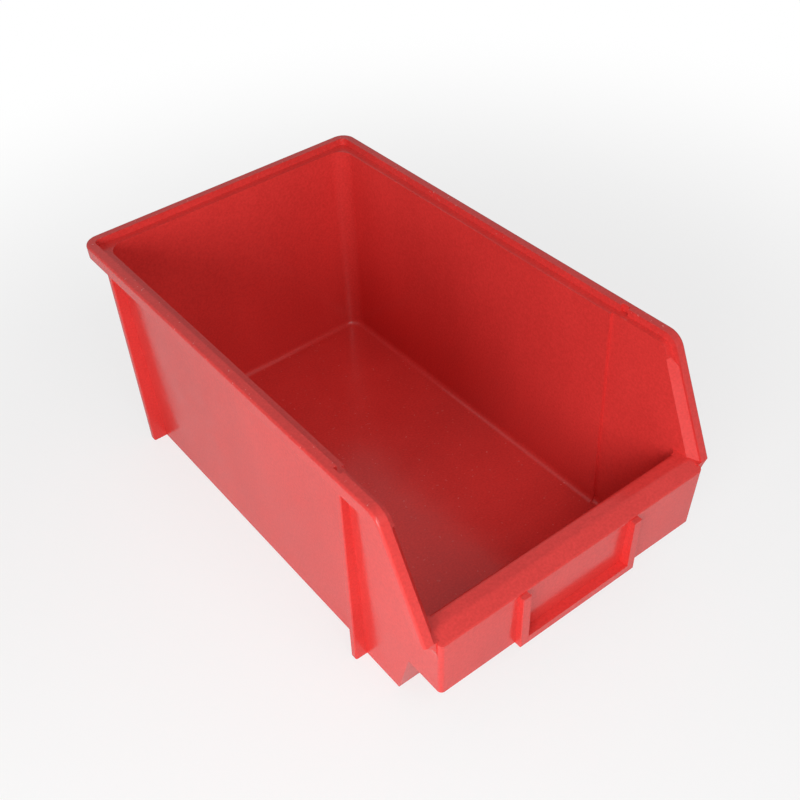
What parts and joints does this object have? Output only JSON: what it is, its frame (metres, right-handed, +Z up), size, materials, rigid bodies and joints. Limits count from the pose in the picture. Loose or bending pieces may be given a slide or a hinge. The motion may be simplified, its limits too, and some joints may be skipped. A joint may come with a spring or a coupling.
{
  "type": "stackable storage bin",
  "caption": "Open-fronted stacking storage bin in red plastic, with a stepped rim, sloping front edges, raised apron, label holder and grip lip.",
  "frame": {"origin": "middle of the underside, on the surface that the bin stands on", "axes": "+X to the right seen from the open front, +Y to the rear, +Z up; the open front faces -Y"},
  "size_m": [0.205, 0.345, 0.152],
  "materials": {
    "red_polypropylene": "satin moulded red polypropylene"
  },
  "bodies": {
    "root": {"floor_panel": "red_polypropylene", "rear_wall": "red_polypropylene", "left_side_wall": "red_polypropylene", "right_side_wall": "red_polypropylene", "front_wall": "red_polypropylene", "front_apron": "red_polypropylene", "front_grip_lip": "red_polypropylene", "rear_rim": "red_polypropylene", "left_rim": "red_polypropylene", "right_rim": "red_polypropylene", "rear_ledge": "red_polypropylene", "left_ledge": "red_polypropylene", "right_ledge": "red_polypropylene", "left_rear_rib": "red_polypropylene", "right_rear_rib": "red_polypropylene", "left_front_rib": "red_polypropylene", "right_front_rib": "red_polypropylene", "label_holder": "red_polypropylene"}
  },
  "joints": []
}
